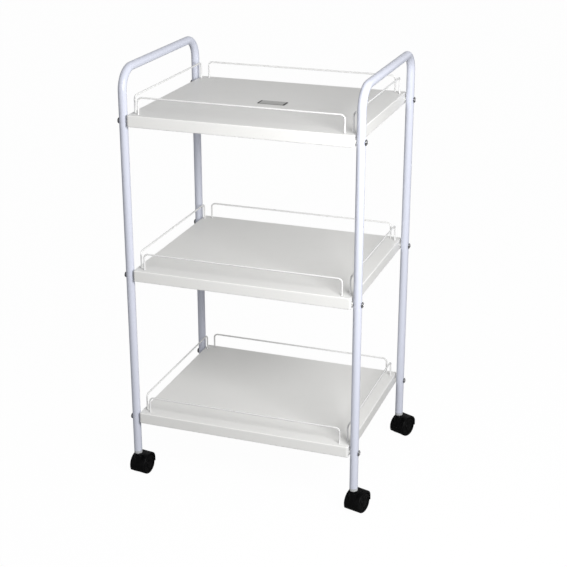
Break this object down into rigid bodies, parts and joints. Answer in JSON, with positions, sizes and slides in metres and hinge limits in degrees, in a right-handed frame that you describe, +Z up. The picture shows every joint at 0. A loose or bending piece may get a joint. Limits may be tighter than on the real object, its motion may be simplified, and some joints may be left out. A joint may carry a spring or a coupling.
{
  "type": "rolling salon trolley",
  "caption": "Open trolley for salon supplies: folded trays with wire rails between tube side frames whose tops form handles, on twin-wheel swivel casters.",
  "frame": {"origin": "centre of the bounding box on the floor, with the casters at their rest headings", "axes": "+Z up, +X to the right along the trays, -Y to the front"},
  "size_m": [0.4978, 0.3893, 0.8322],
  "materials": {
    "frame_paint": "gloss powder coat, cool white",
    "tray_paint": "satin powder coat, warm white",
    "rail_paint": "gloss powder coat, white",
    "bolt_chrome": "bright plated",
    "stem_zinc": "zinc plated",
    "socket_plastic": "moulded, light grey",
    "caster_plastic": "moulded, black, semi-gloss",
    "label_plate": "satin, blank"
  },
  "bodies": {
    "frame": {"side_frame_left": "frame_paint", "side_frame_right": "frame_paint", "tray_bottom": "tray_paint", "tray_middle": "tray_paint", "tray_top": "tray_paint", "rail_bottom_front": "rail_paint", "rail_bottom_back": "rail_paint", "rail_bottom_left": "rail_paint", "rail_bottom_right": "rail_paint", "rail_middle_front": "rail_paint", "rail_middle_back": "rail_paint", "rail_middle_left": "rail_paint", "rail_middle_right": "rail_paint", "rail_top_front": "rail_paint", "rail_top_back": "rail_paint", "rail_top_left": "rail_paint", "rail_top_right": "rail_paint", "bolt_bottom_front_left": "bolt_chrome", "bolt_bottom_front_right": "bolt_chrome", "bolt_bottom_back_left": "bolt_chrome", "bolt_bottom_back_right": "bolt_chrome", "bolt_middle_front_left": "bolt_chrome", "bolt_middle_front_right": "bolt_chrome", "bolt_middle_back_left": "bolt_chrome", "bolt_middle_back_right": "bolt_chrome", "bolt_top_front_left": "bolt_chrome", "bolt_top_front_right": "bolt_chrome", "bolt_top_back_left": "bolt_chrome", "bolt_top_back_right": "bolt_chrome", "label_plate": "label_plate", "socket_front_left": "socket_plastic", "socket_front_right": "socket_plastic", "socket_back_left": "socket_plastic", "socket_back_right": "socket_plastic", "stem_front_left": "stem_zinc", "stem_front_right": "stem_zinc", "stem_back_left": "stem_zinc", "stem_back_right": "stem_zinc"},
    "caster_front_left": {"hood_front_left": "caster_plastic", "axle_front_left": "stem_zinc"},
    "roller_front_left_left": {"wheel_front_left_left": "caster_plastic"},
    "roller_front_left_right": {"wheel_front_left_right": "caster_plastic"},
    "caster_front_right": {"hood_front_right": "caster_plastic", "axle_front_right": "stem_zinc"},
    "roller_front_right_left": {"wheel_front_right_left": "caster_plastic"},
    "roller_front_right_right": {"wheel_front_right_right": "caster_plastic"},
    "caster_back_left": {"hood_back_left": "caster_plastic", "axle_back_left": "stem_zinc"},
    "roller_back_left_left": {"wheel_back_left_left": "caster_plastic"},
    "roller_back_left_right": {"wheel_back_left_right": "caster_plastic"},
    "caster_back_right": {"hood_back_right": "caster_plastic", "axle_back_right": "stem_zinc"},
    "roller_back_right_left": {"wheel_back_right_left": "caster_plastic"},
    "roller_back_right_right": {"wheel_back_right_right": "caster_plastic"}
  },
  "joints": [
    {"name": "swivel_front_left", "type": "hinge", "parent": "frame", "child": "caster_front_left", "pos_m": [-0.2308, -0.1816, 0.047], "axis": [0, 0, 1], "continuous": true},
    {"name": "roll_front_left_left", "type": "hinge", "parent": "caster_front_left", "child": "roller_front_left_left", "pos_m": [-0.22885, -0.16774, 0.02], "axis": [0.9903, -0.1392, 0], "continuous": true},
    {"name": "roll_front_left_right", "type": "hinge", "parent": "caster_front_left", "child": "roller_front_left_right", "pos_m": [-0.22885, -0.16774, 0.02], "axis": [0.9903, -0.1392, 0], "continuous": true},
    {"name": "swivel_front_right", "type": "hinge", "parent": "frame", "child": "caster_front_right", "pos_m": [0.2192, -0.1816, 0.047], "axis": [0, 0, 1], "continuous": true},
    {"name": "roll_front_right_left", "type": "hinge", "parent": "caster_front_right", "child": "roller_front_right_left", "pos_m": [0.22306, -0.16814, 0.02], "axis": [0.9613, -0.2756, 0], "continuous": true},
    {"name": "roll_front_right_right", "type": "hinge", "parent": "caster_front_right", "child": "roller_front_right_right", "pos_m": [0.22306, -0.16814, 0.02], "axis": [0.9613, -0.2756, 0], "continuous": true},
    {"name": "swivel_back_left", "type": "hinge", "parent": "frame", "child": "caster_back_left", "pos_m": [-0.2308, 0.1544, 0.047], "axis": [0, 0, 1], "continuous": true},
    {"name": "roll_back_left_left", "type": "hinge", "parent": "caster_back_left", "child": "roller_back_left_left", "pos_m": [-0.22601, 0.16756, 0.02], "axis": [0.9397, -0.342, 0], "continuous": true},
    {"name": "roll_back_left_right", "type": "hinge", "parent": "caster_back_left", "child": "roller_back_left_right", "pos_m": [-0.22601, 0.16756, 0.02], "axis": [0.9397, -0.342, 0], "continuous": true},
    {"name": "swivel_back_right", "type": "hinge", "parent": "frame", "child": "caster_back_right", "pos_m": [0.2192, 0.1544, 0.047], "axis": [0, 0, 1], "continuous": true},
    {"name": "roll_back_right_left", "type": "hinge", "parent": "caster_back_right", "child": "roller_back_right_left", "pos_m": [0.22489, 0.16719, 0.02], "axis": [0.9135, -0.4067, 0], "continuous": true},
    {"name": "roll_back_right_right", "type": "hinge", "parent": "caster_back_right", "child": "roller_back_right_right", "pos_m": [0.22489, 0.16719, 0.02], "axis": [0.9135, -0.4067, 0], "continuous": true}
  ]
}
